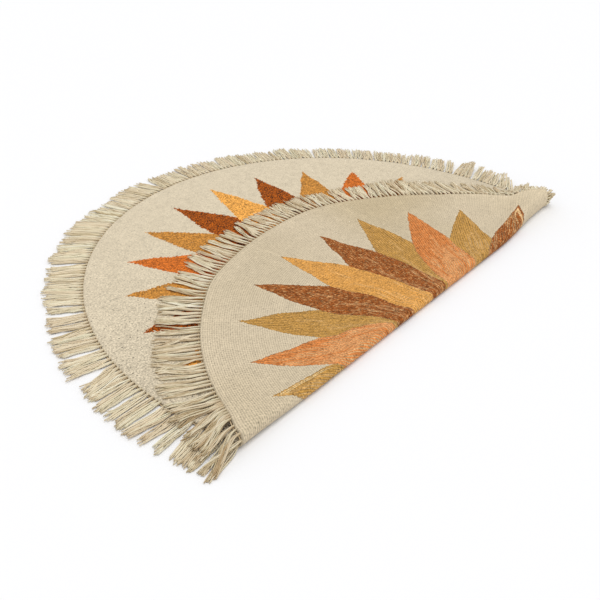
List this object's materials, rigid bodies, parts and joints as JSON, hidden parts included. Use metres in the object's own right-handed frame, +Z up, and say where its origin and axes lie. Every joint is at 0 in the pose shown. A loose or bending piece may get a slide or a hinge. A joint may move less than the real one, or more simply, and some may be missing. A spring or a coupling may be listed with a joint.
{
  "type": "tufted rug",
  "caption": "Round tufted cotton rug with a flower of pointed petals and a yarn fringe, folded over once along a chord and lying on the floor, back of the upper layer showing.",
  "frame": {"origin": "on the floor, below the middle of the folded rug's outline, fringe included", "axes": "+X along the fold, +Y from the fold towards the far edge of the lower layer, +Z up"},
  "size_m": [1.1405, 0.7115, 0.0428],
  "materials": {
    "cloth": "matte tufted cotton, cream ground with brown, coral, gold and amber petals",
    "fringe": "matte undyed cotton yarn"
  },
  "bodies": {
    "root": {"rug_cloth": "cloth", "fringe": "fringe"}
  },
  "joints": []
}
